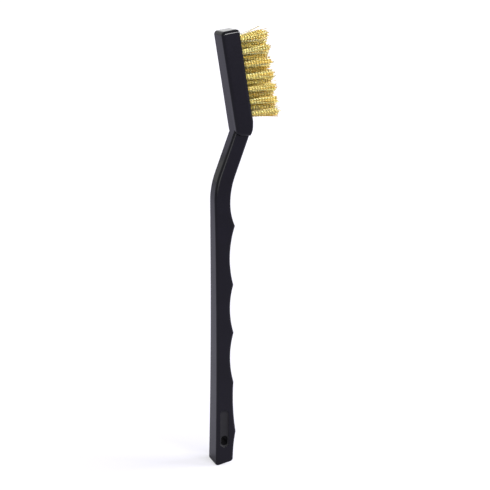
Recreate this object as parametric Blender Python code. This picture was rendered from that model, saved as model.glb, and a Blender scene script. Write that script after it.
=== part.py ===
"""Spark plug wire brush: a one-piece moulded handle whose leaning head carries a block of brass tufts.

+Z runs along the handle from its cut end towards the head, +X is the way the wire points, and Y runs
across the width, so the handle is the same on both sides of Y = 0. Each tuft is a bundle of wires folded
over a flat anchor and driven into its own blind hole in the head. Lengths are metres.
"""

from math import asin, cos, pi, radians, sin, sqrt, tan

import bmesh
import bpy
from mathutils import Matrix, Vector

# Side view of the handle, with the back of the grip on the line x = 0 and its lowest corner at z = 0
GRIP_LENGTH = 0.111
NECK_LENGTH = 0.0189
HEAD_LENGTH = 0.0394
NECK_LEAN = radians(20)
HEAD_LEAN = radians(9.3)
END_CUT_ANGLE = radians(13.3)
BACK_BOW = 0.0005

# The bend between grip and neck, on the back and on the front
BACK_BEND_RADIUS = 0.032
FRONT_BEND_RADIUS = 0.033
FRONT_BEND_DROP = 0.0013

# Depths, front to back
END_DEPTH = 0.0075
WAIST_DEPTH = 0.00675
NECK_DEPTH = 0.0067
HEAD_DEPTH = 0.0077

# The finger grip: crests along the front with a hollow under each, counted from the end
LOWEST_CREST_DEPTH = 0.0085
MIDDLE_CREST_DEPTH = 0.0074
TOP_CREST_DEPTH = 0.0084
CREST_HEIGHT_SHARES = (0.128, 0.32, 0.508, 0.689, 0.908)
LOWEST_HOLLOW = 0.0006
FINGER_HOLLOW = 0.00145
TOP_HOLLOW = 0.0018

# Widths, side to side
END_WIDTH = 0.0119
GRIP_TOP_WIDTH = 0.0096
GRIP_TOP_SHARE = 0.8
NECK_WIDTH = 0.008
HEAD_WIDTH = 0.0122

# Rounding
EDGE_RADIUS = 0.0014
END_EDGE_RADIUS = 0.0008
TOP_CORNER_RADIUS = 0.0016
BACK_FOOT_RADIUS = 0.0018
HEEL_RADIUS = 0.0065
HEEL_CENTRE_RISE = 0.0037
HEEL_TOP_RISE = 0.0058
FOOT_DROP = 0.0023
NECK_ROOT_SETBACK = 0.0018
NECK_ROOT_DEPTH = 0.004
NECK_ROOT_INSET = 0.0004

# Hang hole at the end, in the floor of a long shallow recess on each side
RECESS_WIDTH = 0.0037
RECESS_LENGTH = 0.0158
RECESS_DEPTH = 0.0008
RECESS_BACK_OFFSET = 0.00175
RECESS_HEIGHT = 0.0082
HANG_HOLE_WIDTH = 0.0028
HANG_HOLE_LENGTH = 0.0042
HANG_HOLE_HEIGHT = 0.0086

# Wire tufts in three rows across the head, the middle row set half a pitch lower, each tuft with its lean
OUTER_ROW_LEANS = [radians(lean) for lean in (-1, -1.5, -2.5, -3.5, -4, -4.5, -5)]
MIDDLE_ROW_LEANS = [radians(lean) for lean in (-6, -2, -3, -3.75, -4.25, -4.75)]
ROW_LEANS = (OUTER_ROW_LEANS, MIDDLE_ROW_LEANS, OUTER_ROW_LEANS)
ROW_STAGGER_SHARES = (0, 0.5, 0)
ROW_PITCH = 0.0031
COLUMN_PITCH = 0.005
FIRST_COLUMN_OFFSET = 0.0045
HOLE_DIAMETER = 0.0022
HOLE_DEPTH = 0.0046
FIT_GAP = 0.0001
TRIM_LENGTH = 0.0123
TRIM_SPREAD = 0.00025
TRIM_SPREAD_SHARES = (0, 0.8, -0.6, 1, -1, 0.3, -0.2)
ACROSS_SPREAD_SHARE = 0.35
ALONG_SPREAD_SHARE = 0.8
TOP_TUFT_SPREAD_SHARE = 2
RING_STRANDS = (1, 5, 9)
RING_RADIUS_SHARES = (0, 0.42, 0.74)
STRAND_SIZE = 0.0003
CRIMP_DEPTH = 0.00016
CRIMP_DEPTH_SHARES = (0, 1, -1, 1)

# Flat anchor that holds a tuft's fold down
ANCHOR_LENGTH = 0.0029
ANCHOR_HEIGHT = 0.0015
ANCHOR_THICKNESS = 0.00035
FOLD_THICKNESS = 0.0005

# Facets
CORNER_STEPS = 4
CREST_STEPS = 6
BEND_STEPS = 8
HOLE_SIDES = 12
ROOT_SIDES = 8
STRAND_SIDES = 3
CUT_OVERRUN = 0.002


def clear_scene():
    for scene_object in list(bpy.data.objects):
        bpy.data.objects.remove(scene_object)


def new_collection(name):
    collection = bpy.data.collections.new(name)
    bpy.context.scene.collection.children.link(collection)
    return collection


def make_material(name, colour, roughness, metallic):
    material = bpy.data.materials.new(name)
    material.use_nodes = True
    shader = material.node_tree.nodes["Principled BSDF"]
    shader.inputs["Base Color"].default_value = (*colour, 1)
    shader.inputs["Roughness"].default_value = roughness
    shader.inputs["Metallic"].default_value = metallic
    return material


def place(bm, name, collection, material=None):
    """Turns a bmesh into an object of the collection, its faces turned outwards."""
    bmesh.ops.recalc_face_normals(bm, faces=bm.faces)
    if bm.calc_volume(signed=True) < 0:
        bmesh.ops.reverse_faces(bm, faces=bm.faces)
    mesh = bpy.data.meshes.new(name)
    bm.to_mesh(mesh)
    bm.free()
    piece = bpy.data.objects.new(name, mesh)
    collection.objects.link(piece)
    if material:
        mesh.materials.append(material)
    return piece


def as_helper(piece):
    piece.hide_render = True
    piece.display_type = "WIRE"
    return piece


def add_boolean(piece, other, operation):
    boolean = piece.modifiers.new(f"{operation.lower()} {other.name}", "BOOLEAN")
    boolean.operation = operation
    boolean.solver = "EXACT"
    boolean.object = other


# Side view: points are (x, z) vectors


def arc(start, end, rise, steps):
    """Points on the arc that bulges to the right of the chord by rise, without its end."""
    chord = end - start
    half = chord.length / 2
    if not rise:
        return [start + chord * (i / steps) for i in range(steps)]
    radius = (half * half + rise * rise) / (2 * rise)
    side = Vector((chord.y, -chord.x)).normalized()
    centre = start + chord / 2 + side * (rise - radius)
    first = start - centre
    sweep = 2 * (first.angle(side * rise))
    turn = -sweep if rise > 0 else sweep
    turned = [Matrix.Rotation(turn * i / steps, 2) @ first for i in range(steps)]
    if (Matrix.Rotation(turn, 2) @ first - (end - centre)).length > half:
        turned = [Matrix.Rotation(-turn * i / steps, 2) @ first for i in range(steps)]
    return [centre + point for point in turned]


def neck_direction():
    return Vector((sin(NECK_LEAN), cos(NECK_LEAN)))


def head_direction():
    return Vector((-sin(HEAD_LEAN), cos(HEAD_LEAN)))


def head_normal():
    """The way the wire points, square to the head's front."""
    return Vector((cos(HEAD_LEAN), sin(HEAD_LEAN)))


def back_kink():
    """Where the back of the neck meets the back of the head."""
    bend_end = Vector((1 - cos(NECK_LEAN), sin(NECK_LEAN))) * BACK_BEND_RADIUS
    return Vector((0, GRIP_LENGTH)) + bend_end + neck_direction() * NECK_LENGTH


def head_top_back():
    return back_kink() + head_direction() * HEAD_LENGTH


def head_top_front():
    return head_top_back() + head_normal() * HEAD_DEPTH


def front_kink():
    """Where the line of the neck's front crosses the line of the head's front."""
    square = Vector((neck_direction().y, -neck_direction().x))
    on_neck = back_kink() + square * NECK_DEPTH
    gap = (head_top_front() - on_neck).dot(head_normal())
    return on_neck + neck_direction() * (gap / neck_direction().dot(head_normal()))


def grip_width(height):
    """Width at a height: a slow taper up the grip, then a smooth flare down to the neck."""
    grip_top = GRIP_LENGTH * GRIP_TOP_SHARE
    neck_start = GRIP_LENGTH + BACK_BEND_RADIUS * sin(NECK_LEAN)
    if height < grip_top:
        return END_WIDTH + (GRIP_TOP_WIDTH - END_WIDTH) * max(height, 0) / grip_top
    share = min((height - grip_top) / (neck_start - grip_top), 1)
    return GRIP_TOP_WIDTH + (NECK_WIDTH - GRIP_TOP_WIDTH) * share * share * (3 - 2 * share)


def back_bow(height):
    """How far the hollow of the grip's slightly bowed back lies in front of a straight line."""
    share = height / GRIP_LENGTH
    return 4 * BACK_BOW * share * (1 - share)


def crest_points():
    middle = [MIDDLE_CREST_DEPTH] * len(CREST_HEIGHT_SHARES[1:-1])
    depths = [LOWEST_CREST_DEPTH] + middle + [TOP_CREST_DEPTH]
    heights = [GRIP_LENGTH * share for share in CREST_HEIGHT_SHARES]
    return [Vector((back_bow(height) + depth, height)) for depth, height in zip(depths, heights)]


def front_line():
    """The front of the grip from the end up to the neck, as runs of points."""
    crests = crest_points()
    end_corner = Vector((END_DEPTH, END_DEPTH * tan(END_CUT_ANGLE)))
    waist = Vector((WAIST_DEPTH, GRIP_LENGTH - FRONT_BEND_DROP))
    hollows = [LOWEST_HOLLOW] + [FINGER_HOLLOW] * len(crests[2:-1]) + [TOP_HOLLOW]
    runs = [arc(end_corner, crests[0], -LOWEST_HOLLOW / 2, CREST_STEPS)]
    for lower, upper, hollow in zip(crests, crests[1:], hollows):
        runs.append(arc(lower, upper, -hollow, CREST_STEPS))
    rise = waist.y - crests[-1].y
    sink = crests[-1].x - waist.x
    radius = (rise * rise + sink * sink) / (2 * sink)
    run = []
    for i in range(CREST_STEPS):
        below = rise * (1 - i / CREST_STEPS)
        run.append(Vector((waist.x + radius - sqrt(radius * radius - below * below), waist.y - below)))
    runs.append(run)
    centre = waist + Vector((FRONT_BEND_RADIUS, 0))
    turns = [NECK_LEAN * i / BEND_STEPS for i in range(BEND_STEPS + 1)]
    runs.append([centre + Vector((-cos(turn), sin(turn))) * FRONT_BEND_RADIUS for turn in turns])
    return runs


def back_line():
    """The back of the grip, as runs of points that pair with those of the front."""
    heights = [0] + [crest.y for crest in crest_points()] + [GRIP_LENGTH]
    runs = []
    for low, high in zip(heights, heights[1:]):
        steps = [low + (high - low) * i / CREST_STEPS for i in range(CREST_STEPS)]
        runs.append([Vector((back_bow(height), height)) for height in steps])
    centre = Vector((BACK_BEND_RADIUS, GRIP_LENGTH))
    turns = [NECK_LEAN * i / BEND_STEPS for i in range(BEND_STEPS + 1)]
    runs.append([centre + Vector((-cos(turn), sin(turn))) * BACK_BEND_RADIUS for turn in turns])
    return runs


def stations():
    """(back point, front point, width, inset) of each section, from the rounded end up into the head."""
    fronts = [point for run in front_line() for point in run]
    backs = [point for run in back_line() for point in run]
    pairs = list(zip(backs, fronts))
    result = []
    low_back, low_front = pairs[0]
    for i in range(CORNER_STEPS + 1):
        turn = pi / 2 * i / CORNER_STEPS
        lift = Vector((0, END_EDGE_RADIUS * (1 - cos(turn))))
        inset = END_EDGE_RADIUS * (1 - sin(turn))
        result.append((low_back + lift, low_front + lift, grip_width(lift.y), inset))
    for back, front in pairs[1:]:
        result.append((back, front, grip_width((back.y + front.y) / 2), 0))
    front = front_kink() - neck_direction() * NECK_ROOT_SETBACK
    result.append((back_kink(), front, NECK_WIDTH, 0))
    sunk = head_direction() * NECK_ROOT_DEPTH
    result.append((back_kink() + sunk, front + sunk, NECK_WIDTH, NECK_ROOT_INSET))
    return result


def section(back, front, width, inset):
    """Corner-rounded rectangle between the back and front points, as 3-D points in order."""
    deep = (front - back).normalized()
    depth = (front - back).length
    radius = EDGE_RADIUS - inset * EDGE_RADIUS / (EDGE_RADIUS + inset)
    corners = (
        (depth - inset - radius, width / 2 - inset - radius, 0),
        (inset + radius, width / 2 - inset - radius, pi / 2),
        (inset + radius, radius + inset - width / 2, pi),
        (depth - inset - radius, radius + inset - width / 2, 3 * pi / 2),
    )
    points = []
    for along, across, first in corners:
        for i in range(CORNER_STEPS + 1):
            turn = first + pi / 2 * i / CORNER_STEPS
            spot = back + deep * (along + radius * cos(turn))
            points.append(Vector((spot.x, across + radius * sin(turn), spot.y)))
    return points


def loft(rings):
    """A closed body through rings of points, with flat ends."""
    bm = bmesh.new()
    loops = [[bm.verts.new(point) for point in ring] for ring in rings]
    for lower, upper in zip(loops, loops[1:]):
        for i in range(len(lower)):
            bm.faces.new((lower[i - 1], lower[i], upper[i], upper[i - 1]))
    bm.faces.new(loops[0])
    bm.faces.new(reversed(loops[-1]))
    return bm


def corner_arc(corner, before, after, radius, inset):
    """Points round a corner between two neighbouring corners, drawn in by inset."""
    towards_before = (before - corner).normalized()
    towards_after = (after - corner).normalized()
    half = towards_before.angle(towards_after) / 2
    centre = corner + (towards_before + towards_after).normalized() * (radius / sin(half))
    first = corner + towards_before * (radius / tan(half)) - centre
    last = corner + towards_after * (radius / tan(half)) - centre
    steps = 2 * CORNER_STEPS
    return [centre + first.lerp(last, i / steps).normalized() * (radius - inset) for i in range(steps + 1)]


def heel_arc(foot_height, inset):
    """Points of the heel, from the flat foot round to the short upright face under the head's front."""
    on_front = head_top_front() - head_normal() * inset
    face = head_top_front()
    face -= head_direction() * ((face.y - foot_height - HEEL_TOP_RISE) / head_direction().y)
    centre = Vector((face.x - HEEL_RADIUS, foot_height + HEEL_CENTRE_RISE))
    radius = HEEL_RADIUS - inset
    first = -asin((HEEL_CENTRE_RISE - inset) / radius)
    steps = 2 * CORNER_STEPS
    turns = [first * (1 - i / steps) for i in range(steps + 1)]
    points = [centre + Vector((cos(turn), sin(turn))) * radius for turn in turns]
    face_top = on_front - head_direction() * ((on_front.x - face.x + inset) / head_direction().x)
    return points + [face_top]


def head_outline(inset):
    """Side view of the head, drawn in by inset: square top, flat foot and a large round heel."""
    top_back, top_front = head_top_back(), head_top_front()
    foot_height = back_kink().y - FOOT_DROP
    down = -head_direction()
    foot_back = top_back + down * ((foot_height - top_back.y) / down.y)
    foot_front = top_front + down * ((foot_height - top_front.y) / down.y)
    outline = corner_arc(top_back, top_front, foot_back, TOP_CORNER_RADIUS, inset)
    outline += corner_arc(foot_back, top_back, foot_front, BACK_FOOT_RADIUS, inset)
    outline += heel_arc(foot_height, inset)
    return outline + corner_arc(top_front, foot_front, top_back, TOP_CORNER_RADIUS, inset)


def head_block(cutters):
    """The head as outlines across the width, drawn in towards each side to round its rims."""
    rings = []
    for side in (-1, 1):
        for i in range(CORNER_STEPS + 1):
            turn = pi / 2 * (i if side < 0 else CORNER_STEPS - i) / CORNER_STEPS
            across = side * (HEAD_WIDTH / 2 - EDGE_RADIUS * (1 - cos(turn)))
            inset = EDGE_RADIUS * (1 - sin(turn))
            rings.append([Vector((p.x, across, p.y)) for p in head_outline(inset)])
    return as_helper(place(loft(rings), "head_block", cutters))


# Wire tufts: a tuft's own frame has Z the way its wire points, X up along the head and Y across


def tuft_places():
    """Row and column of every tuft, row by row."""
    return [(row, column) for row, leans in enumerate(ROW_LEANS) for column in range(len(leans))]


def tuft_frame(row, column):
    """World place of a tuft: its origin is the centre of the hole's mouth."""
    along = FIRST_COLUMN_OFFSET + (column + ROW_STAGGER_SHARES[row]) * COLUMN_PITCH
    mouth = head_top_front() - head_direction() * along
    across = (row - (len(ROW_LEANS) - 1) / 2) * ROW_PITCH
    up, out = head_direction(), head_normal()
    turn = Matrix(((up.x, 0, out.x), (0, -1, 0), (up.y, 0, out.y))).to_4x4()
    return Matrix.Translation((mouth.x, across, mouth.y)) @ turn


def box(bm, size, centre, frame):
    place_box = frame @ Matrix.Translation(centre) @ Matrix.Diagonal((*size, 1))
    bmesh.ops.create_cube(bm, size=1, matrix=place_box)


def cylinder(bm, radius, bottom, top, sides, frame):
    middle = frame @ Matrix.Translation((0, 0, (bottom + top) / 2))
    bmesh.ops.create_cone(
        bm, cap_ends=True, segments=sides, radius1=radius, radius2=radius, depth=top - bottom, matrix=middle
    )


def anchor_middle():
    """Height of the anchor's centre in the tuft's frame, below the mouth."""
    return -HOLE_DEPTH + FIT_GAP + FOLD_THICKNESS + FIT_GAP + ANCHOR_HEIGHT / 2


def hole_cutter(row, column, cutters):
    bm = bmesh.new()
    cylinder(bm, HOLE_DIAMETER / 2, -HOLE_DEPTH, CUT_OVERRUN, HOLE_SIDES, tuft_frame(row, column))
    return as_helper(place(bm, f"hole_cutter_{row + 1}_{column + 1}", cutters))


def slot_cutter(row, column, cutters):
    """The slit that the anchor cuts in the hole's wall on its way down."""
    bm = bmesh.new()
    bottom = anchor_middle() - ANCHOR_HEIGHT / 2 - FIT_GAP
    size = (ANCHOR_LENGTH + 2 * FIT_GAP, ANCHOR_THICKNESS + 2 * FIT_GAP, CUT_OVERRUN - bottom)
    box(bm, size, (0, 0, (CUT_OVERRUN + bottom) / 2), tuft_frame(row, column))
    return as_helper(place(bm, f"slot_cutter_{row + 1}_{column + 1}", cutters))


def strand_bases():
    """Centres and turns of the strands in a tuft: a middle one and rings round it."""
    places = []
    for strands, share in zip(RING_STRANDS, RING_RADIUS_SHARES):
        for i in range(strands):
            turn = 2 * pi * (i + share / 2) / strands
            places.append((Vector((cos(turn), sin(turn))) * share, turn))
    return places


def strand_rings(base, turn, row, column, length):
    """The rings of a strand's corners, from the hole's mouth to its tip."""
    root_radius = HOLE_DIAMETER / 2 - FIT_GAP
    is_top = column + ROW_STAGGER_SHARES[row] == 0
    along_spread = TOP_TUFT_SPREAD_SHARE if is_top else ALONG_SPREAD_SHARE
    rings = []
    for step, crimp_share in enumerate(CRIMP_DEPTH_SHARES):
        share = step / (len(CRIMP_DEPTH_SHARES) - 1)
        up = base.x * (1 + along_spread * share) * root_radius
        up += length * share * tan(ROW_LEANS[row][column]) + CRIMP_DEPTH * crimp_share
        across = base.y * (1 + ACROSS_SPREAD_SHARE * share) * root_radius
        ring = []
        for i in range(STRAND_SIDES):
            angle = turn + 2 * pi * i / STRAND_SIDES
            corner = Vector((cos(angle), sin(angle), 0)) * STRAND_SIZE / 2
            ring.append(Vector((up, across, length * share)) + corner)
        rings.append(ring)
    return rings


def tuft(row, column, collection, cutters, material):
    """A folded bundle of wires: the packed root fills the hole and the strands grow out of it."""
    root_radius = HOLE_DIAMETER / 2 - FIT_GAP
    root_turns = [2 * pi * i / ROOT_SIDES for i in range(ROOT_SIDES)]
    rim = [Vector((cos(turn), sin(turn), 0)) * root_radius for turn in root_turns]
    bm = bmesh.new()
    top = [bm.verts.new(point) for point in rim]
    foot = [bm.verts.new(point - Vector((0, 0, HOLE_DEPTH - FIT_GAP))) for point in rim]
    fill_edges = []
    for i in range(ROOT_SIDES):
        bm.faces.new((foot[i - 1], foot[i], top[i], top[i - 1]))
        fill_edges.append(bm.edges.get((top[i - 1], top[i])))
    bm.faces.new(reversed(foot))
    for number, (base, turn) in enumerate(strand_bases()):
        trim_share = TRIM_SPREAD_SHARES[(number + column + row) % len(TRIM_SPREAD_SHARES)]
        length = TRIM_LENGTH + TRIM_SPREAD * trim_share
        points = strand_rings(base, turn, row, column, length)
        rings = [[bm.verts.new(point) for point in ring] for ring in points]
        for lower, upper in zip(rings, rings[1:]):
            for i in range(STRAND_SIDES):
                bm.faces.new((lower[i - 1], lower[i], upper[i], upper[i - 1]))
        bm.faces.new(rings[-1])
        fill_edges += [bm.edges.get((rings[0][i - 1], rings[0][i])) for i in range(STRAND_SIDES)]
    bmesh.ops.triangle_fill(bm, use_beauty=True, use_dissolve=False, edges=fill_edges)
    frame = tuft_frame(row, column)
    bm.transform(frame)
    piece = place(bm, f"wire_tuft_{row + 1}_{column + 1}", collection, material)
    window = bmesh.new()
    size = (HOLE_DIAMETER + CUT_OVERRUN, ANCHOR_THICKNESS + 2 * FIT_GAP, ANCHOR_HEIGHT + 2 * FIT_GAP)
    box(window, size, (0, 0, anchor_middle()), frame)
    cutter = as_helper(place(window, f"fold_cutter_{row + 1}_{column + 1}", cutters))
    add_boolean(piece, cutter, "DIFFERENCE")
    return piece


def anchor(row, column, collection, material):
    bm = bmesh.new()
    size = (ANCHOR_LENGTH, ANCHOR_THICKNESS, ANCHOR_HEIGHT)
    box(bm, size, (0, 0, anchor_middle()), tuft_frame(row, column))
    return place(bm, f"tuft_anchor_{row + 1}_{column + 1}", collection, material)


def long_hole(name, width, length, height, low, high, cutters):
    """A round-ended cutter along the grip, between two places across the width."""
    middle = RECESS_BACK_OFFSET + RECESS_WIDTH / 2
    radius = width / 2
    outline = []
    for i in range(2 * HOLE_SIDES):
        turn = 2 * pi * i / (2 * HOLE_SIDES - 1)
        rise = length - radius if sin(turn) >= 0 else radius
        outline.append(Vector((middle + radius * cos(turn), height + rise + radius * sin(turn))))
    bm = bmesh.new()
    lower = [bm.verts.new((point.x, low, point.y)) for point in outline[:-1]]
    upper = [bm.verts.new((point.x, high, point.y)) for point in outline[:-1]]
    for i in range(len(lower)):
        bm.faces.new((lower[i - 1], lower[i], upper[i], upper[i - 1]))
    bm.faces.new(lower)
    bm.faces.new(reversed(upper))
    return as_helper(place(bm, name, cutters))


def handle(collection, cutters, material):
    """The moulding: lofted grip and neck, the head, its tuft holes and the hang hole."""
    piece = place(loft([section(*station) for station in stations()]), "handle", collection, material)
    add_boolean(piece, head_block(cutters), "UNION")
    for row, column in tuft_places():
        add_boolean(piece, hole_cutter(row, column, cutters), "DIFFERENCE")
        add_boolean(piece, slot_cutter(row, column, cutters), "DIFFERENCE")
    outside = END_WIDTH / 2 + CUT_OVERRUN
    floor = grip_width(RECESS_HEIGHT + RECESS_LENGTH / 2) / 2 - RECESS_DEPTH
    recess = (RECESS_WIDTH, RECESS_LENGTH, RECESS_HEIGHT)
    hang = (HANG_HOLE_WIDTH, HANG_HOLE_LENGTH, HANG_HOLE_HEIGHT)
    add_boolean(piece, long_hole("recess_cutter_near", *recess, -outside, -floor, cutters), "DIFFERENCE")
    add_boolean(piece, long_hole("recess_cutter_far", *recess, floor, outside, cutters), "DIFFERENCE")
    add_boolean(piece, long_hole("hang_hole_cutter", *hang, -outside, outside, cutters), "DIFFERENCE")
    return piece


def stand_on_origin(pieces, cutters):
    """Hangs all objects on an empty that puts the bottom centre of the pieces' common box at the origin."""
    bpy.context.view_layer.update()
    graph = bpy.context.evaluated_depsgraph_get()
    corners = [Vector(c) for piece in pieces for c in piece.evaluated_get(graph).bound_box]
    low = [min(corner[axis] for corner in corners) for axis in range(3)]
    high = [max(corner[axis] for corner in corners) for axis in range(3)]
    root = bpy.data.objects.new("spark_plug_brush", None)
    bpy.context.scene.collection.objects.link(root)
    root.location = (-(low[0] + high[0]) / 2, -(low[1] + high[1]) / 2, -low[2])
    for member in pieces + list(cutters.objects):
        member.parent = root


def main():
    clear_scene()
    parts = new_collection("spark_plug_wire_brush")
    cutters = new_collection("cutters")
    plastic = make_material("black_plastic", (0.012, 0.012, 0.016), 0.35, 0)
    brass = make_material("brass_wire", (0.75, 0.52, 0.18), 0.35, 1)
    steel = make_material("anchor_steel", (0.55, 0.55, 0.55), 0.4, 1)
    body = handle(parts, cutters, plastic)
    pieces = [body]
    for row, column in tuft_places():
        pieces.append(tuft(row, column, parts, cutters, brass))
        pieces.append(anchor(row, column, parts, steel))
    body.data.shade_smooth()
    stand_on_origin(pieces, cutters)


main()
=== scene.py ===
"""Looks of the spark plug wire brush: its glossy black moulded handle and its block of crimped brass wire."""

import random
from math import asin, ceil, cos, pi, radians, sin, sqrt, tan

import bmesh
import bpy
from mathutils import Matrix, Vector


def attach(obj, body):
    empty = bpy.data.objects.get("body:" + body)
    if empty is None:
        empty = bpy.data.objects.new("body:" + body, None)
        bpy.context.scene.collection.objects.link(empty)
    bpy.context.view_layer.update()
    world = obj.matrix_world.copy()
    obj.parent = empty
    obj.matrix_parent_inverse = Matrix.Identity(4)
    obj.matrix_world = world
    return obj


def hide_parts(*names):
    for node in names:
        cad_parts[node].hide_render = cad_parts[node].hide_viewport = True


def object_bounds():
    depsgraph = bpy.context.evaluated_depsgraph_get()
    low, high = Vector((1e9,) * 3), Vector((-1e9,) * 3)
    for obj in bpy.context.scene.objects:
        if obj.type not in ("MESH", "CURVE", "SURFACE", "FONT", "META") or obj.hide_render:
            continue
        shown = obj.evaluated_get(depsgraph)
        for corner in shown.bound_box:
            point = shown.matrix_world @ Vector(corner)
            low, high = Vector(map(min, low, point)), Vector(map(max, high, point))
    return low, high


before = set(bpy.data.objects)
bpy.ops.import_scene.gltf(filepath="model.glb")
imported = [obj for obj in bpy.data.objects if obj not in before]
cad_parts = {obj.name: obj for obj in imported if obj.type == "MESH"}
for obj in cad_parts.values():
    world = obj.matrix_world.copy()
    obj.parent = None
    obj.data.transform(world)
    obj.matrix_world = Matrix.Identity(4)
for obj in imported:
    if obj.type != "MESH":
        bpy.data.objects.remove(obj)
CAD_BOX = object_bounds()

# Lengths are in millimetres up to the studio's, and MM turns them into Blender's metres
MM = 0.001

# A point this near a plane or a corner lies on it
TOUCHING = 0.01 * MM

# How much of a face's normal lies along an axis
SQUARELY = 0.99
MOSTLY = 0.5
HARDLY = 0.1

# The handle is drawn from the side as (x, z), with both ends of the grip's back on x = 0 and its lowest
# corner at z = 0. This shift takes the drawing to the part's frame
DRAWING_SHIFT = Vector((-13.9671, 0, -0.1745)) * MM
GRIP_LENGTH = 111
NECK_LENGTH = 18.9
HEAD_LENGTH = 39.4
NECK_LEAN = radians(20)
HEAD_LEAN = radians(9.3)
END_CUT_ANGLE = radians(13.3)
BACK_BOW = 0.5

# The bend between grip and neck, on the back and on the front
BACK_BEND_RADIUS = 32
FRONT_BEND_RADIUS = 33
FRONT_BEND_DROP = 1.3

# Depths, front to back
END_DEPTH = 7.5
WAIST_DEPTH = 6.75
NECK_DEPTH = 6.7
HEAD_DEPTH = 7.7

# The finger grip: crests along the front, from the end up, and the hollow over each but the last
CREST_DEPTHS = (8.5, 7.4, 7.4, 7.4, 8.4)
CREST_HEIGHTS = (14.2, 35.5, 56.4, 76.5, 100.8)
HOLLOWS = (0.6, 1.45, 1.45, 1.8)

# Widths, side to side
END_WIDTH = 11.9
GRIP_TOP_WIDTH = 9.6
GRIP_TOP = 88.8
NECK_WIDTH = 8
HEAD_WIDTH = 12.2

# Rounding of the long edges, the cut end, the head's top and the back of its foot
EDGE_RADIUS = 1.4
END_EDGE_RADIUS = 0.8
TOP_CORNER_RADIUS = 1.6
BACK_FOOT_RADIUS = 1.8

# The head's foot lies below the kink where neck and head meet, its heel's centre and top above the foot
FOOT_DROP = 2.3
HEEL_RADIUS = 6.5
HEEL_CENTRE_RISE = 3.7
HEEL_TOP_RISE = 5.8

# The neck's front turns short of its kink, and the neck goes on into the head by a depth, a little narrower
NECK_ROOT_SETBACK = 1.8
NECK_ROOT_DEPTH = 4
NECK_ROOT_INSET = 0.3

# Facets, and how they are smoothed
CREST_STEPS = 14
BEND_STEPS = 18
ROUND_SEGMENTS = 7
END_SEGMENTS = 4
SMOOTH_ANGLE = radians(38)
LARGE_FACE_WEIGHT = 60

# Recess near the end of the grip, with a soft rim and a scooped floor, and the hang hole in it
RECESS_WIDTH = 3.7
RECESS_LENGTH = 15.8
RECESS_BACK_OFFSET = 1.75
RECESS_HEIGHT = 8.2
RECESS_RIM = 0.15
SCOOP_INSET = 1.2
SCOOP_TILT = radians(36)
SCOOP_STEPS = 7
SCOOP_STEM = 0.04
HANG_HOLE_WIDTH = 2.8
HANG_HOLE_LENGTH = 4.2
HANG_HOLE_HEIGHT = 8.6
SLOT_END_ROUNDNESS = 0.94
SLOT_END_SEGMENTS = 10

# Steps of a soft rim, as shares of its size: how far out, and how much wider on each side
RIM_STEP_SHARES = ((0.45, 0.25), (0.35, 0.35), (0.2, 0.4), (1, 0))

# Tufts in three rows across the head, the middle one half a pitch lower, each tuft with its lean in degrees
OUTER_ROW_LEANS = (-1, -1.5, -2.5, -3.5, -4, -4.5, -5)
MIDDLE_ROW_LEANS = (-6, -2, -3, -3.75, -4.25, -4.75)
ROW_LEANS = (OUTER_ROW_LEANS, MIDDLE_ROW_LEANS, OUTER_ROW_LEANS)
MIDDLE_ROW = 1
ROW_STAGGER_SHARES = (0, 0.5, 0)
ROW_PITCH = 3.1
COLUMN_PITCH = 5
FIRST_COLUMN = 4.5

# Blind hole of a tuft, and the slit of its anchor as width, thickness and height, with its middle's place
# from the hole's mouth. Their cutters run out of the mouth by the overrun
HOLE_RADIUS = 1.1
HOLE_DEPTH = 4.6
HOLE_SIDES = 24
ANCHOR_SLIT = (3.1, 0.55, 1.7)
ANCHOR_MIDDLE = -3.15
CUT_OVERRUN = 1

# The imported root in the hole, and the gap about it
ROOT_SIDES = 16
ROOT_SEGMENTS = 2
FIT_GAP = 0.1

# One wire, crimped into waves, in a few lengths, bends in degrees and turns of its facets in degrees
WIRE_RADIUS = 0.125
WIRE_SIDES = 3
WIRE_SINK = 0.7
CRIMP_PITCH = 1.13
CRIMP_DEPTH = 0.4
WIRE_LENGTHS = (10.5, 11.1, 11.6, 12.1, 12.6)
WIRE_BENDS = (-8, -4, 0, 4, 8)
FACET_TURNS = (10, 50, 90)

# The wires of a tuft stand in a spiral about its hole's middle, each a golden turn on from the one before
WIRES_PER_TUFT = 56
GOLDEN_TURN = radians(137.5)

# How far the wires at a tuft's rim fan out, along the head and across it, and their bend back in degrees
ALONG_FLARE = radians(4)
TOP_FLARE = radians(7)
ACROSS_FLARE = radians(5)
FLARE_BEND = -3

# How far the wires reach, and how much less at the rim and in the middle row
TRIM_LENGTH = 11.5
EDGE_WIRE_LOSS = 0.4
MIDDLE_ROW_LOSS = 0.2

# Chance differences between tufts, and between the wires of one, with angles in degrees
LEAN_SPREAD = 0.6
TUFT_SPIN_SPREAD = 20
TUFT_TRIM_SPREAD = 0.25
BEND_DEVIATION = 2
SPIN_DEVIATION = 7
TILT_DEVIATION = 1
LOOSE_SHARE = 0.12
LOOSE_TILT_DEVIATION = 3.5
CRIMP_SHIFT_SPREAD = 0.2
TRIM_DEVIATION = 0.42
STRETCH_SPREAD = 0.008
SEED = 21

# Single wires that stray from a tuft, by row and column: tilt in degrees, start up the head and stretch
STRAY_WIRES = {
    (0, 0): ((22, 0.8, 0.74), (10.5, 0.7, 0.96)),
    (0, 4): ((5, 0.7, 1.02),),
    (0, 6): ((-9.5, -0.8, 0.92),),
}

# How light the wires are, from 0, golden, to 1, pale. Those inside a tuft and in the middle row keep only a
# share, so they are painted darker golden as painted shade
ROOT_TONE = 0.2
STRAY_TONE = 0.1
INNER_REACH = 0.7
INNER_PAINTED_SHADE_SHARE = 0.2
MIDDLE_ROW_PAINTED_SHADE_SHARE = 0.6

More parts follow.
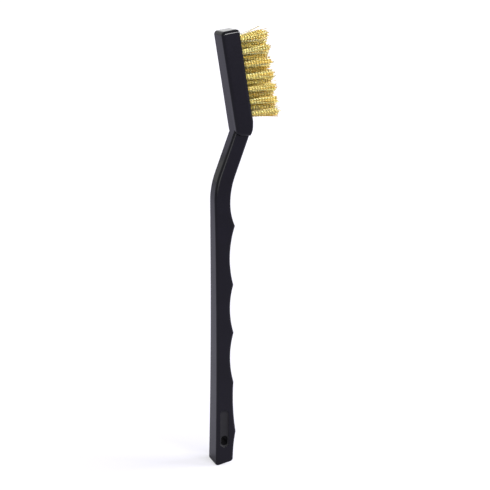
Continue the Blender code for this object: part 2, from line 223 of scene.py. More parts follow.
# How matt the recess and the hang hole's wall are, and the roughness that a wholly matt face, at 1, adds.
# A face is the recess's from this depth on, and the hole's up to this far beyond its ends
RECESS_MATT = 1.1
MATT_ROUGHNESS = 0.5
RECESS_LEAST_DEPTH = 0.02
HANG_HOLE_MARGIN = 0.3

# The values between which a noise lies almost everywhere
NOISE_LOW, NOISE_HIGH = 0.3, 0.7

# Colours along a ramp, by a noise or by how light a wire is
BLACK_STOPS = ((NOISE_LOW, (0.0014, 0.001, 0.0032)), (NOISE_HIGH, (0.0022, 0.0017, 0.0048)))
BRASS_STOPS = (
    (0, (0.93, 0.65, 0.15)),
    (0.25, (0.97, 0.87, 0.38)),
    (0.7, (0.98, 0.93, 0.48)),
    (1, (1, 0.97, 0.6)),
)
STEEL_STOPS = ((NOISE_LOW, (0.42, 0.42, 0.42)), (NOISE_HIGH, (0.6, 0.6, 0.6)))

# Floor in metres: its paper's colour by the distance from the brush, lighter near it and darker further out
# as painted light, and the white glow that the camera sees, which grows from near to far over its reach
FLOOR_SIZE = 60
PAPER_PAINTED_LIGHT_STOPS = ((0.1, (0.405, 0.395, 0.48)), (0.75, (0.285, 0.275, 0.35)))
GLOW_NEAR, GLOW_FAR = 0.62, 0.9
GLOW_REACH = 1.5

# The room's grey light, and the share of the white background that glossy and clear surfaces see
ROOM_LIGHT = 0.32
REFLECTED_SHARE = 0.1

# Camera in the photograph's place, with its lens and sensor in millimetres
CAMERA_PLACE = Vector((-180.12, -554.4, 212.42)) * MM
CAMERA_AZIMUTH = radians(-18)
CAMERA_PITCH = radians(11.7)
CAMERA_ROLL = radians(0.25)
CAMERA_LENS = 106.97
CAMERA_SENSOR = 36
CAMERA_NEAR_CLIP = 0.01


def select_only(piece):
    if bpy.context.object and bpy.context.object.mode != "OBJECT":
        bpy.ops.object.mode_set(mode="OBJECT")
    bpy.ops.object.select_all(action="DESELECT")
    piece.select_set(True)
    bpy.context.view_layer.objects.active = piece


def apply_place(piece):
    select_only(piece)
    bpy.ops.object.transform_apply(location=True, rotation=True, scale=True)


def apply_modifier(piece, kind, **settings):
    select_only(piece)
    modifier = piece.modifiers.new(kind.lower(), kind)
    for name, value in settings.items():
        setattr(modifier, name, value)
    bpy.ops.object.modifier_apply(modifier=modifier.name)


def pick(kind, test):
    """In edit mode, selects the faces, edges or points that pass a test, and no others."""
    bpy.context.tool_settings.mesh_select_mode = tuple(kind == name for name in ("verts", "edges", "faces"))
    mesh = bpy.context.object.data
    shape = bmesh.from_edit_mesh(mesh)
    for item in (*shape.faces, *shape.edges, *shape.verts):
        item.select = False
    for item in getattr(shape, kind):
        if test(item):
            item.select_set(True)
    shape.select_flush_mode()
    bmesh.update_edit_mesh(mesh)


def round_edges(test, radius, segments=ROUND_SEGMENTS, clamp=True):
    """Rounds the edges that pass a test. Without clamp, a round may run into its neighbour."""
    pick("edges", test)
    bpy.ops.mesh.bevel(
        offset=radius * MM, segments=segments, profile=0.5, affect="EDGES", clamp_overlap=clamp
    )


def edge_way(edge):
    return edge.verts[1].co - edge.verts[0].co


def join(pieces):
    select_only(pieces[0])
    for piece in pieces:
        piece.select_set(True)
    bpy.ops.object.join()
    return bpy.context.object


def cut(piece, cutter):
    apply_modifier(piece, "BOOLEAN", operation="DIFFERENCE", solver="EXACT", object=cutter)
    bpy.data.objects.remove(cutter)


def copy_at(piece, matrix):
    copied = piece.copy()
    copied.data = piece.data.copy()
    bpy.context.collection.objects.link(copied)
    copied.matrix_world = matrix
    return copied


# Side view drawing


def neck_direction():
    return Vector((sin(NECK_LEAN), cos(NECK_LEAN)))


def head_direction():
    return Vector((-sin(HEAD_LEAN), cos(HEAD_LEAN)))


def head_normal():
    return Vector((cos(HEAD_LEAN), sin(HEAD_LEAN)))


def back_kink():
    bend_end = Vector((1 - cos(NECK_LEAN), sin(NECK_LEAN))) * BACK_BEND_RADIUS
    return Vector((0, GRIP_LENGTH)) + bend_end + neck_direction() * NECK_LENGTH


def head_top_front():
    return back_kink() + head_direction() * HEAD_LENGTH + head_normal() * HEAD_DEPTH


def front_kink():
    square = Vector((neck_direction().y, -neck_direction().x))
    on_neck = back_kink() + square * NECK_DEPTH
    gap = (head_top_front() - on_neck).dot(head_normal())
    return on_neck + neck_direction() * (gap / neck_direction().dot(head_normal()))


def slot_middle(height, length):
    """Middle of a slot in the recess's line that starts at a height of the grip."""
    return Vector((RECESS_BACK_OFFSET + RECESS_WIDTH / 2, height + length / 2))


def place(point, across=0):
    """A point of the drawing, in metres in the part's frame."""
    return Vector((point.x, across, point.y)) * MM + DRAWING_SHIFT


def back_bow(height):
    share = height / GRIP_LENGTH
    return 4 * BACK_BOW * share * (1 - share)


def grip_width(height):
    """The grip's width: an even taper, then a smooth one from the grip's top into the neck."""
    neck_start = GRIP_LENGTH + BACK_BEND_RADIUS * sin(NECK_LEAN)
    if height < GRIP_TOP:
        return END_WIDTH + (GRIP_TOP_WIDTH - END_WIDTH) * max(height, 0) / GRIP_TOP
    share = min((height - GRIP_TOP) / (neck_start - GRIP_TOP), 1)
    return GRIP_TOP_WIDTH + (NECK_WIDTH - GRIP_TOP_WIDTH) * share * share * (3 - 2 * share)


def hollow(start, end, depth):
    """Points on the shallow arc that sinks by depth between two crests, without its end."""
    chord = end - start
    half = chord.length / 2
    radius = (half * half + depth * depth) / (2 * depth)
    outwards = Vector((chord.y, -chord.x)).normalized()
    centre = start + chord / 2 + outwards * (radius - depth)
    half_turn = asin(half / radius)
    turns = [half_turn * (1 - 2 * i / CREST_STEPS) for i in range(CREST_STEPS)]
    along = chord.normalized()
    return [centre - outwards * radius * cos(turn) - along * radius * sin(turn) for turn in turns]


def waist_curve(crest, waist):
    """Points on the arc from the last crest down to the waist, which it meets in line, without its end."""
    rise, sink = waist.y - crest.y, crest.x - waist.x
    radius = (rise * rise + sink * sink) / (2 * sink)
    points = []
    for i in range(CREST_STEPS):
        below = rise * (1 - i / CREST_STEPS)
        across = waist.x + radius - sqrt(radius * radius - below * below)
        points.append(Vector((across, waist.y - below)))
    return points


def bend(start, radius):
    turns = [NECK_LEAN * i / BEND_STEPS for i in range(BEND_STEPS + 1)]
    return [start + Vector((1 - cos(turn), sin(turn))) * radius for turn in turns]


def front_line():
    """The front of the grip, from the cut end over the crests and round the bend to the neck."""
    drawn = zip(CREST_DEPTHS, CREST_HEIGHTS)
    crests = [Vector((back_bow(height) + depth, height)) for depth, height in drawn]
    end_corner = Vector((END_DEPTH, END_DEPTH * tan(END_CUT_ANGLE)))
    waist = Vector((WAIST_DEPTH, GRIP_LENGTH - FRONT_BEND_DROP))
    points = hollow(end_corner, crests[0], HOLLOWS[0] / 2)
    for lower, upper, depth in zip(crests, crests[1:], HOLLOWS):
        points += hollow(lower, upper, depth)
    return points + waist_curve(crests[-1], waist) + bend(waist, FRONT_BEND_RADIUS)


def back_line():
    """The back of the grip, in as many steps as its front."""
    points = []
    heights = [0, *CREST_HEIGHTS, GRIP_LENGTH]
    for low, high in zip(heights, heights[1:]):
        steps = [low + (high - low) * i / CREST_STEPS for i in range(CREST_STEPS)]
        points += [Vector((back_bow(height), height)) for height in steps]
    return points + bend(Vector((0, GRIP_LENGTH)), BACK_BEND_RADIUS)


def sections():
    """(back point, front point, width) of each section of grip and neck, from the cut end into the head."""
    lines = zip(back_line(), front_line())
    result = [(back, front, grip_width((back.y + front.y) / 2)) for back, front in lines]
    front = front_kink() - neck_direction() * NECK_ROOT_SETBACK
    result.append((back_kink(), front, NECK_WIDTH))
    sunk = head_direction() * NECK_ROOT_DEPTH + head_normal() * NECK_ROOT_INSET
    root_front = front + sunk - head_normal() * 2 * NECK_ROOT_INSET
    result.append((back_kink() + sunk, root_front, NECK_WIDTH - NECK_ROOT_INSET))
    return result


# Handle


def carry_face(old, new, extrude=True):
    """Takes the selected end face from one section to the next, drawing walls behind it if told."""
    old_middle, new_middle = place((old[0] + old[1]) / 2), place((new[0] + new[1]) / 2)
    old_deep, new_deep = old[1] - old[0], new[1] - new[0]
    step = new_middle - old_middle
    if extrude:
        bpy.ops.mesh.extrude_region_move(TRANSFORM_OT_translate={"value": step})
    else:
        bpy.ops.transform.translate(value=step)
    deeper = new_deep.length / old_deep.length
    bpy.ops.transform.resize(value=(deeper, new[2] / old[2], deeper), center_override=new_middle)
    tilt = old_deep.angle_signed(new_deep)
    bpy.ops.transform.rotate(value=-tilt, orient_axis="Y", orient_type="GLOBAL", center_override=new_middle)


def grip():
    """The grip and neck, drawn up from the cut end section by section."""
    drawn = sections()
    width = drawn[0][2]
    level = (Vector((0, 0)), Vector((END_DEPTH, 0)), width)
    second = drawn[1]
    top = (Vector((0, second[0].y)), Vector((END_DEPTH, second[0].y)), width)
    middle = place((level[0] + top[1]) / 2)
    size = Vector((END_DEPTH, width, second[0].y)) * MM
    bpy.ops.mesh.primitive_cube_add(size=1, location=middle, scale=size)
    piece = bpy.context.object
    apply_place(piece)
    bpy.ops.object.mode_set(mode="EDIT")
    pick("faces", lambda face: face.normal.z < -MOSTLY)
    carry_face(level, drawn[0], extrude=False)
    pick("faces", lambda face: face.normal.z > MOSTLY)
    carry_face(top, second, extrude=False)
    for lower, upper in zip(drawn[1:], drawn[2:]):
        carry_face(lower, upper)
    end_normal = Vector((sin(END_CUT_ANGLE), 0, -cos(END_CUT_ANGLE)))
    end_corner = place(Vector((0, 0)))

    def runs_up(edge):
        way = edge_way(edge)
        return abs(way.z) > abs(way.x) and abs(way.z) > abs(way.y)

    def on_end(edge):
        return all(abs((vert.co - end_corner).dot(end_normal)) < TOUCHING for vert in edge.verts)

    round_edges(runs_up, EDGE_RADIUS)
    round_edges(on_end, END_EDGE_RADIUS, END_SEGMENTS)
    bpy.ops.object.mode_set(mode="OBJECT")
    return piece


def cut_flat(point, way, **cleared):
    """In edit mode, cuts the piece flat at a point, clears one side and closes the other."""
    bpy.ops.mesh.select_all(action="SELECT")
    bpy.ops.mesh.bisect(plane_co=point, plane_no=way, use_fill=True, **cleared)


def head():
    """The head: a leaning block with a square top, a flat foot and a large round heel below its front."""
    top_front = head_top_front()
    foot_height = back_kink().y - FOOT_DROP
    slope = head_direction()
    face = top_front - slope * ((top_front.y - foot_height - HEEL_TOP_RISE) / slope.y)
    heel_centre = Vector((face.x - HEEL_RADIUS, foot_height + HEEL_CENTRE_RISE))
    length = HEAD_LENGTH + 2 * HEEL_RADIUS
    middle = top_front - head_normal() * HEAD_DEPTH / 2 - slope * length / 2
    size = Vector((HEAD_DEPTH, HEAD_WIDTH, length)) * MM
    bpy.ops.mesh.primitive_cube_add(size=1, location=place(middle), rotation=(0, -HEAD_LEAN, 0), scale=size)
    piece = bpy.context.object
    apply_place(piece)
    bpy.ops.object.mode_set(mode="EDIT")

    def crosses_at(*corners):
        """A test for the edges that run across the head at one of these corners of its side view."""

        def near(edge, corner):
            return all((vert.co - corner).xz.length < TOUCHING for vert in edge.verts)

        return lambda edge: any(near(edge, corner) for corner in corners)

    def outlines_side(edge):
        half = HEAD_WIDTH / 2 * MM
        flush = all(abs(abs(vert.co.y) - half) < TOUCHING for vert in edge.verts)
        on_one_side = edge.verts[0].co.y * edge.verts[1].co.y > 0
        return flush and on_one_side and any(abs(beside.normal.y) < MOSTLY for beside in edge.link_faces)

    cut_flat(place(face), (1, 0, 0), clear_outer=True)
    heel_bottom = heel_centre - Vector((0, HEEL_RADIUS))
    cut_flat(place(heel_bottom), (0, 0, 1), clear_inner=True)
    round_edges(crosses_at(place(Vector((face.x, heel_bottom.y)))), HEEL_RADIUS)
    foot = place(Vector((0, foot_height)))
    cut_flat(foot, (0, 0, 1), clear_inner=True)
    top_back = place(top_front - head_normal() * HEAD_DEPTH)
    foot_back = top_back - Vector((slope.x, 0, slope.y)) * ((top_back.z - foot.z) / slope.y)
    round_edges(crosses_at(place(top_front), top_back), TOP_CORNER_RADIUS)
    round_edges(crosses_at(foot_back), BACK_FOOT_RADIUS)
    round_edges(outlines_side, EDGE_RADIUS, clamp=False)
    bpy.ops.object.mode_set(mode="OBJECT")
    return piece


def slot_cutter(width, length, height, low, high):
    """A round-ended cutter along the grip, from low to high across it."""
    middle = place(slot_middle(height, length), (low + high) / 2)
    size = Vector((width, abs(high - low), length)) * MM
    bpy.ops.mesh.primitive_cube_add(size=1, location=middle, scale=size)
    piece = bpy.context.object
    apply_place(piece)
    bpy.ops.object.mode_set(mode="EDIT")

    def crosses(edge):
        way = edge_way(edge)
        return abs(way.y) > abs(way.x) + abs(way.z)

    round_edges(crosses, width / 2 * SLOT_END_ROUNDNESS, SLOT_END_SEGMENTS)
    bpy.ops.object.mode_set(mode="OBJECT")
    return piece


def recess_cutter(side):
    """Cutter of the recess on one side: a slot that flares out in a soft rim, with a scooped floor."""
    half = grip_width(RECESS_HEIGHT + RECESS_LENGTH / 2) / 2
    mouth = side * (half - RECESS_RIM)
    stem_end = side * (half - RECESS_RIM - SCOOP_STEM)
    piece = slot_cutter(RECESS_WIDTH, RECESS_LENGTH, RECESS_HEIGHT, stem_end, mouth)
    middle = place(slot_middle(RECESS_HEIGHT, RECESS_LENGTH), mouth)
    bpy.ops.object.mode_set(mode="EDIT")
    pick("faces", lambda face: face.normal.y * side > MOSTLY)
    for out, wide in RIM_STEP_SHARES:
        shift = Vector((0, side * out * RECESS_RIM * MM, 0))
        bpy.ops.mesh.extrude_region_move(TRANSFORM_OT_translate={"value": shift})
        wider = 2 * wide * RECESS_RIM
        growth = (1 + wider / RECESS_WIDTH, 1, 1 + wider / RECESS_LENGTH)
        bpy.ops.transform.resize(value=growth, center_override=middle)
    pick("faces", lambda face: face.normal.y * side < -SQUARELY)
    radius = SCOOP_INSET / sin(SCOOP_TILT)
    turns = [SCOOP_TILT * (1 - i / SCOOP_STEPS) for i in range(SCOOP_STEPS + 1)]
    for turn, next_turn in zip(turns, turns[1:]):
        inwards = radius * (sin(turn) - sin(next_turn))
        deeper = radius * (cos(next_turn) - cos(turn))
        bpy.ops.mesh.inset(thickness=inwards * MM, depth=deeper * MM)
    bpy.ops.object.mode_set(mode="OBJECT")
    return piece


def tuft_frame(row, column):
    """Place of a tuft: Z the way its wire points, X up along the head, origin at the hole's mouth."""
    along = FIRST_COLUMN + (column + ROW_STAGGER_SHARES[row]) * COLUMN_PITCH
    mouth = head_top_front() - head_direction() * along
    across = (row - (len(ROW_LEANS) - 1) / 2) * ROW_PITCH
    up, out = head_direction(), head_normal()
    turn = Matrix(((up.x, 0, out.x), (0, -1, 0), (up.y, 0, out.y))).to_4x4()
    return Matrix.Translation(place(mouth, across)) @ turn


def tuft_places():
    return [(row, column) for row, leans in enumerate(ROW_LEANS) for column in range(len(leans))]


def at_each_tuft(first):
    """Joined copies of a cutter, one at each tuft, in the cutter's stead."""
    copies = [copy_at(first, tuft_frame(row, column)) for row, column in tuft_places()]
    bpy.data.objects.remove(first)
    piece = join(copies)
    apply_place(piece)
    return piece


def hole_cutters():
    """Cutters of the tufts' blind holes."""
    depth = HOLE_DEPTH + CUT_OVERRUN
    bpy.ops.mesh.primitive_cylinder_add(
        vertices=HOLE_SIDES,
        radius=HOLE_RADIUS * MM,
        depth=depth * MM,
        location=(0, 0, (depth / 2 - HOLE_DEPTH) * MM),
    )
    first = bpy.context.object
    apply_place(first)
    return at_each_tuft(first)


def slit_cutters():
    """Cutters of the slits that the anchors leave beside the holes."""
    width, thickness, anchor_height = ANCHOR_SLIT
    bottom = ANCHOR_MIDDLE - anchor_height / 2
    height = CUT_OVERRUN - bottom
    size = Vector((width, thickness, height)) * MM
    bpy.ops.mesh.primitive_cube_add(size=1, location=(0, 0, (bottom + height / 2) * MM), scale=size)
    first = bpy.context.object
    apply_place(first)
    return at_each_tuft(first)


def mark_matt_faces(piece):
    """Keeps, for the plastic, how matt each face is: none but those of the recess and the hang hole are."""
    hole_middle = place(slot_middle(HANG_HOLE_HEIGHT, HANG_HOLE_LENGTH))
    recess_middle = place(slot_middle(RECESS_HEIGHT, RECESS_LENGTH))
    hole_reach = (HANG_HOLE_LENGTH / 2 + HANG_HOLE_MARGIN) * MM

    def in_recess(face):
        half = grip_width((face.center - DRAWING_SHIFT).z / MM) / 2
        sunk = half * MM - abs(face.center.y) > RECESS_LEAST_DEPTH * MM
        away = face.center - recess_middle
        return sunk and abs(away.x) < RECESS_WIDTH / 2 * MM and abs(away.z) < RECESS_LENGTH / 2 * MM

    def on_hole(face):
        return abs(face.normal.y) < HARDLY and (face.center - hole_middle).xz.length < hole_reach

    values = [RECESS_MATT if on_hole(face) or in_recess(face) else 0 for face in piece.data.polygons]
    piece.data.attributes.new("matt", "FLOAT", "FACE").data.foreach_set("value", values)


def moulded_handle(material):
    piece = grip()
    block = head()
    apply_modifier(piece, "BOOLEAN", operation="UNION", solver="EXACT", object=block)
    bpy.data.objects.remove(block)
    cut(piece, hole_cutters())
    cut(piece, slit_cutters())
    for side in (-1, 1):
        cut(piece, recess_cutter(side))
    cut(piece, slot_cutter(HANG_HOLE_WIDTH, HANG_HOLE_LENGTH, HANG_HOLE_HEIGHT, -HEAD_WIDTH, HEAD_WIDTH))
    mark_matt_faces(piece)
    piece.name = "moulded_handle"
    piece.data.materials.clear()
    piece.data.materials.append(material)
    select_only(piece)
    bpy.ops.object.shade_smooth_by_angle(angle=SMOOTH_ANGLE)
    apply_modifier(piece, "WEIGHTED_NORMAL", keep_sharp=True, weight=LARGE_FACE_WEIGHT)
    return piece


# Wire tufts


def crimped_wire(bend_angle, facet_turn, reach):
    """One wire: a thin three-sided rod, crimped into even waves, cut to its reach and bent along the head."""
    half_pitch = CRIMP_PITCH / 2
    half_waves = ceil((reach + WIRE_SINK) / half_pitch)
    length = half_waves * half_pitch
    bpy.ops.mesh.primitive_cylinder_add(
        vertices=WIRE_SIDES,
        radius=WIRE_RADIUS * MM,
        depth=length * MM,
        location=(0, 0, (length / 2 - WIRE_SINK) * MM),
        rotation=(0, 0, radians(facet_turn)),
    )
    piece = bpy.context.object
    apply_place(piece)
    bpy.ops.object.mode_set(mode="EDIT")

    def rise(edge):
        return abs(edge_way(edge).z)

    pick("edges", lambda edge: rise(edge) > length / 2 * MM)
    bpy.ops.mesh.subdivide(number_cuts=half_waves - 1)
    crimp = Vector((0, CRIMP_DEPTH, 0)) * MM
    bpy.ops.mesh.select_all(action="SELECT")
    bpy.ops.transform.translate(value=-crimp / 2)
    pick("verts", lambda vert: round((vert.co.z / MM + WIRE_SINK) / half_pitch) % 2 == 1)
    bpy.ops.transform.translate(value=crimp)
    pick("edges", lambda edge: rise(edge) < half_pitch / 2 * MM)
    bpy.ops.mesh.mark_sharp()
    pick("verts", lambda vert: vert.co.z / MM > length - WIRE_SINK - half_pitch / 2)
    bpy.ops.transform.translate(value=(0, 0, (reach + WIRE_SINK - length) * MM))
    bpy.ops.object.mode_set(mode="OBJECT")
    if bend_angle:
        angle = radians(bend_angle)
        apply_modifier(piece, "SIMPLE_DEFORM", deform_method="BEND", deform_axis="Y", angle=angle)
    select_only(piece)
    bpy.ops.object.shade_smooth()
    return piece


def packed_root():
    """The bundle's packed root: a plug that fills the hole below the loose wire."""
    bottom, top = FIT_GAP - HOLE_DEPTH, -WIRE_SINK + 2 * FIT_GAP
    bpy.ops.mesh.primitive_cylinder_add(
        vertices=ROOT_SIDES,
        radius=(HOLE_RADIUS - FIT_GAP) * MM,
        depth=(top - bottom) * MM,
        location=(0, 0, (top + bottom) / 2 * MM),
    )
    piece = bpy.context.object
    apply_place(piece)
    bpy.ops.object.mode_set(mode="EDIT")
    round_edges(lambda edge: abs(edge_way(edge).z) < FIT_GAP * MM, FIT_GAP, ROOT_SEGMENTS)
    bpy.ops.object.mode_set(mode="OBJECT")
    return piece


def keep_tone_and_shade(piece, tone_and_shade):
    """Keeps, for the brass, how light this wire is: its own tone, with painted shade on wires inside a tuft
    and in the middle row.
    """
    mesh = piece.data
    mesh.attributes.new("wire_tone_and_shade", "FLOAT", "POINT").data.foreach_set("value", [tone_and_shade] * len(mesh.vertices))


def nearest(value, choices):
    return min(choices, key=lambda choice: abs(choice - value))


def stray_wires(row, column, wires):
    """The single wires that stray from a tuft."""
    members = []
    for tilt, start, stretch in STRAY_WIRES.get((row, column), ()):
        matrix = (
            tuft_frame(row, column)
            @ Matrix.Translation((start * MM, 0, 0))
            @ Matrix.Rotation(radians(tilt), 4, "Y")
            @ Matrix.Diagonal((1, 1, stretch, 1))
        )
        member = copy_at(wires[WIRE_BENDS[1], FACET_TURNS[0], WIRE_LENGTHS[-1]], matrix)
        keep_tone_and_shade(member, STRAY_TONE)
        members.append(member)
    return members


def wire_tuft(row, column, wires, root, material, chance):
    """A tuft: its packed root and the wires that flare from the hole's mouth and bend back to the trim."""
    mouth = tuft_frame(row, column)
    is_middle = row == MIDDLE_ROW
    is_top = column + ROW_STAGGER_SHARES[row] == 0
    flare, flare_bend = (TOP_FLARE, 0) if is_top else (ALONG_FLARE, FLARE_BEND)
    rim = HOLE_RADIUS - WIRE_RADIUS
    lean = radians(ROW_LEANS[row][column] + chance.uniform(-LEAN_SPREAD, LEAN_SPREAD))
    tuft_spin = chance.uniform(-TUFT_SPIN_SPREAD, TUFT_SPIN_SPREAD)
    tuft_trim = TRIM_LENGTH + chance.uniform(-TUFT_TRIM_SPREAD, TUFT_TRIM_SPREAD)
    tuft_trim -= MIDDLE_ROW_LOSS if is_middle else 0
    plug = copy_at(root, mouth)
    keep_tone_and_shade(plug, ROOT_TONE)
    members = [plug]
    for number in range(WIRES_PER_TUFT):
        reach = sqrt((number + 0.5) / WIRES_PER_TUFT)
        turn = number * GOLDEN_TURN + column
        along, across = cos(turn) * reach, sin(turn) * reach
        bend_angle = nearest(flare_bend * along + chance.gauss(0, BEND_DEVIATION), WIRE_BENDS)
        spin = radians(chance.gauss(0, SPIN_DEVIATION) + tuft_spin)
        deviation = LOOSE_TILT_DEVIATION if chance.random() < LOOSE_SHARE else TILT_DEVIATION
        tilt_along = lean + flare * along + radians(chance.gauss(0, deviation))
        tilt_across = -ACROSS_FLARE * across + radians(chance.gauss(0, deviation))
        slide = chance.uniform(-CRIMP_SHIFT_SPREAD, CRIMP_SHIFT_SPREAD)
        trim = tuft_trim + chance.gauss(0, TRIM_DEVIATION) - EDGE_WIRE_LOSS * along * along
        stretch = 1 + chance.uniform(-STRETCH_SPREAD, STRETCH_SPREAD)
        matrix = (
            mouth
            @ Matrix.Translation(Vector((along * rim, across * rim, slide)) * MM)
            @ Matrix.Rotation(tilt_along, 4, "Y")
            @ Matrix.Rotation(tilt_across, 4, "X")
            @ Matrix.Rotation(spin, 4, "Z")
            @ Matrix.Diagonal((1, 1, stretch, 1))
        )
        facet_turn = chance.choice(FACET_TURNS)
        member = copy_at(wires[bend_angle, facet_turn, nearest(trim, WIRE_LENGTHS)], matrix)
        # Wires inside the tuft and in the middle row are painted darker golden: painted shade
        tone_and_shade = chance.random() * (1 if reach > INNER_REACH else INNER_PAINTED_SHADE_SHARE)
        keep_tone_and_shade(member, tone_and_shade * (MIDDLE_ROW_PAINTED_SHADE_SHARE if is_middle else 1))
        members.append(member)
    piece = join(members + stray_wires(row, column, wires))
    apply_place(piece)
    piece.name = f"brass_tuft_{row + 1}_{column + 1}"
    piece.data.materials.clear()
    piece.data.materials.append(material)
    return piece


# Materials


def new_material(name):
    material = bpy.data.materials.new(name)
    material.use_nodes = True
    tree = material.node_tree
    return material, tree, tree.nodes["Principled BSDF"]


def place_on_piece(tree):
    return tree.nodes.new("ShaderNodeTexCoord").outputs["Object"]


def kept_value(tree, name):
    """A value that a piece's mesh keeps under a name."""
    node = tree.nodes.new("ShaderNodeAttribute")
    node.attribute_name = name
    return node.outputs["Fac"]


def noise(tree, scale, detail=3, roughness=0.55):
    """A noise with this many grains to the metre."""
    node = tree.nodes.new("ShaderNodeTexNoise")
    node.inputs["Scale"].default_value = scale
    node.inputs["Detail"].default_value = detail
    node.inputs["Roughness"].default_value = roughness
    tree.links.new(place_on_piece(tree), node.inputs["Vector"])
    return node.outputs["Fac"]


def ramp(tree, value, stops):
    node = tree.nodes.new("ShaderNodeValToRGB")
    first, last = node.color_ramp.elements
    first.position, first.color = stops[0][0], (*stops[0][1], 1)
    last.position, last.color = stops[-1][0], (*stops[-1][1], 1)
    for position, colour in stops[1:-1]:
        node.color_ramp.elements.new(position).color = (*colour, 1)
    tree.links.new(value, node.inputs["Fac"])
    return node.outputs["Color"]


def spread(tree, value, low, high, start=NOISE_LOW, end=NOISE_HIGH):
    """Takes a value that runs from start to end to one that runs from low to high."""
    node = tree.nodes.new("ShaderNodeMapRange")
    node.inputs["From Min"].default_value, node.inputs["From Max"].default_value = start, end
    node.inputs["To Min"].default_value, node.inputs["To Max"].default_value = low, high
    tree.links.new(value, node.inputs["Value"])
    return node.outputs["Result"]


def calculate(tree, operation, *terms):
    """The result of an operation on sockets and numbers."""
    node = tree.nodes.new("ShaderNodeMath")
    node.operation = operation
    for socket, term in zip(node.inputs, terms):
        if isinstance(term, bpy.types.NodeSocket):
            tree.links.new(term, socket)
        else:
            socket.default_value = term
    return node.outputs[0]


def bump(tree, shader, height, strength, distance):
    node = tree.nodes.new("ShaderNodeBump")
    node.inputs["Strength"].default_value = strength
    node.inputs["Distance"].default_value = distance
    tree.links.new(height, node.inputs["Height"])
    tree.links.new(node.outputs["Normal"], shader.inputs["Normal"])


def glossy_black_plastic():
    material, tree, shader = new_material("glossy_black_plastic")
    tree.links.new(ramp(tree, noise(tree, scale=120), BLACK_STOPS), shader.inputs["Base Color"])
    polish = spread(tree, noise(tree, scale=500, detail=4), low=0.12, high=0.17)
    roughness = calculate(tree, "MULTIPLY_ADD", kept_value(tree, "matt"), MATT_ROUGHNESS, polish)
    tree.links.new(roughness, shader.inputs["Roughness"])
    shader.inputs["Specular IOR Level"].default_value = 0.4
    grain = noise(tree, scale=2600, detail=2, roughness=0.6)
    bump(tree, shader, grain, strength=0.12, distance=0.05 * MM)
    return material


def crimped_brass():
    material, tree, shader = new_material("crimped_brass")
    # The ramp follows each wire's own random tone, plus the painted shade on inner and middle-row wires
    tree.links.new(ramp(tree, kept_value(tree, "wire_tone_and_shade"), BRASS_STOPS), shader.inputs["Base Color"])
    polish = spread(tree, noise(tree, scale=3000, detail=2), low=0.5, high=0.62)
    tree.links.new(polish, shader.inputs["Roughness"])
    shader.inputs["Metallic"].default_value = 1
    bump(tree, shader, noise(tree, scale=9000, detail=2), strength=0.15, distance=0.02 * MM)
    return material


def flat_steel():
    material, tree, shader = new_material("flat_steel")
    tree.links.new(ramp(tree, noise(tree, scale=1500), STEEL_STOPS), shader.inputs["Base Color"])
    polish = spread(tree, noise(tree, scale=4000), low=0.3, high=0.45)
    tree.links.new(polish, shader.inputs["Roughness"])
    shader.inputs["Metallic"].default_value = 1
    return material


# Studio


def camera_axes():
    """The camera's right, up and back."""
    azimuth, pitch, roll = CAMERA_AZIMUTH, CAMERA_PITCH, CAMERA_ROLL
    back = Vector((sin(azimuth) * cos(pitch), -cos(azimuth) * cos(pitch), sin(pitch)))
    level = Vector((cos(azimuth), sin(azimuth), 0))
    upright = back.cross(level)
    right = level * cos(roll) + upright * sin(roll)
    up = upright * cos(roll) - level * sin(roll)
    return right, up, back


def add_camera():
    data = bpy.data.cameras.new("camera")
    data.lens = CAMERA_LENS
    data.sensor_width = CAMERA_SENSOR
    data.clip_start = CAMERA_NEAR_CLIP
    camera = bpy.data.objects.new("camera", data)
    bpy.context.scene.collection.objects.link(camera)
    camera.matrix_world = Matrix.Translation(CAMERA_PLACE) @ Matrix(camera_axes()).transposed().to_4x4()
    bpy.context.scene.camera = camera


def add_softbox(name, way, distance, width, height, radiance):
    """A soft box that faces the brush from a direction, in metres. At a radiance of 1 it looks just white."""
    data = bpy.data.lights.new(name, "AREA")
    data.shape = "RECTANGLE"
    data.size, data.size_y = width, height
    data.energy = radiance * pi * width * height
    light = bpy.data.objects.new(name, data)
    bpy.context.scene.collection.objects.link(light)
    light.visible_camera = False
    light.location = Vector(way).normalized() * distance + Vector((0, 0, GRIP_LENGTH * MM))
    light.rotation_euler = Vector(way).to_track_quat("Z", "Y").to_euler()


def add_softboxes():
    add_softbox("front_softbox", way=(0.21, -0.89, 0.4), distance=12, width=8.8, height=3, radiance=17)
    add_softbox("left_softbox", way=(-0.48, -0.87, 0.12), distance=1.1, width=0.6, height=0.25, radiance=1.6)
    add_softbox("right_softbox", way=(0.88, -0.2, 0.42), distance=12, width=6.6, height=5.4, radiance=12)
    add_softbox("back_softbox", way=(0.27, 0.95, 0.19), distance=1.2, width=0.4, height=0.4, radiance=0.8)


def sees_background(tree):
    """How much a ray sees of the white background: the camera all, glossy and clear surfaces a share."""
    rays = tree.nodes.new("ShaderNodeLightPath").outputs
    indirect = calculate(tree, "MAXIMUM", rays["Is Glossy Ray"], rays["Is Transmission Ray"])
    return calculate(tree, "MULTIPLY_ADD", indirect, REFLECTED_SHARE, rays["Is Camera Ray"])


def light_room():
    """A grey room's even light, with the white background."""
    world = bpy.data.worlds.new("studio")
    bpy.context.scene.world = world
    world.use_nodes = True
    tree = world.node_tree
    room = tree.nodes["Background"]
    room.inputs["Color"].default_value = (1, 1, 1, 1)
    room.inputs["Strength"].default_value = ROOM_LIGHT
    white = tree.nodes.new("ShaderNodeBackground")
    white.inputs["Color"].default_value = (1, 1, 1, 1)
    mix = tree.nodes.new("ShaderNodeMixShader")
    tree.links.new(sees_background(tree), mix.inputs[0])
    tree.links.new(room.outputs[0], mix.inputs[1])
    tree.links.new(white.outputs[0], mix.inputs[2])
    tree.links.new(mix.outputs[0], tree.nodes["World Output"].inputs["Surface"])


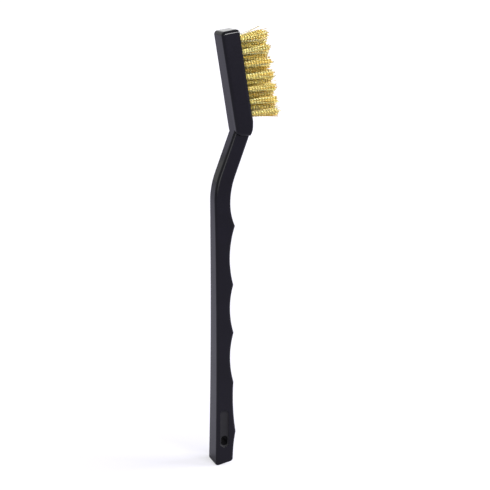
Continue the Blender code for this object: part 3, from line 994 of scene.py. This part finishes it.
def floor_paper():
    """Bluish paper, painted lighter near the brush and darker further out as painted light, that glows white
    for the camera and keeps the brush's shadow.
    """
    material, tree, shader = new_material("floor_paper")
    shader.inputs["Roughness"].default_value = 0.9
    shader.inputs["Specular IOR Level"].default_value = 0
    length = tree.nodes.new("ShaderNodeVectorMath")
    length.operation = "LENGTH"
    tree.links.new(place_on_piece(tree), length.inputs[0])
    distance = length.outputs["Value"]
    # Painted light: the paper's colour is lighter near the brush and darker further out
    tree.links.new(ramp(tree, distance, PAPER_PAINTED_LIGHT_STOPS), shader.inputs["Base Color"])
    fade = spread(tree, distance, GLOW_NEAR, GLOW_FAR, start=0, end=GLOW_REACH)
    glow = tree.nodes.new("ShaderNodeEmission")
    tree.links.new(calculate(tree, "MULTIPLY", fade, sees_background(tree)), glow.inputs["Strength"])
    both = tree.nodes.new("ShaderNodeAddShader")
    tree.links.new(shader.outputs[0], both.inputs[0])
    tree.links.new(glow.outputs[0], both.inputs[1])
    tree.links.new(both.outputs[0], tree.nodes["Material Output"].inputs["Surface"])
    return material


def add_floor():
    bpy.ops.mesh.primitive_plane_add(size=FLOOR_SIZE, location=(0, 0, CAD_BOX[0][2]))
    floor = bpy.context.object
    floor.name = "floor"
    floor.data.materials.append(floor_paper())


def main():
    bpy.ops.object.select_all(action="DESELECT")
    plastic, brass, steel = glossy_black_plastic(), crimped_brass(), flat_steel()
    handle = moulded_handle(plastic)
    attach(handle, "root")
    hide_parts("handle")
    chance = random.Random(SEED)
    wires = {
        (angle, facet_turn, length): crimped_wire(angle, facet_turn, length)
        for angle in WIRE_BENDS
        for facet_turn in FACET_TURNS
        for length in WIRE_LENGTHS
    }
    root = packed_root()
    for row, column in tuft_places():
        piece = wire_tuft(row, column, wires, root, brass, chance)
        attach(piece, "root")
        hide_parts(f"wire_tuft_{row + 1}_{column + 1}")
        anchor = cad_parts[f"tuft_anchor_{row + 1}_{column + 1}"]
        for anchor_slot in anchor.material_slots:
            anchor_slot.material = steel
    for spare in (*wires.values(), root):
        bpy.data.objects.remove(spare)
    add_camera()
    add_softboxes()
    light_room()
    add_floor()
    bpy.context.scene.view_settings.view_transform = "Standard"


main()
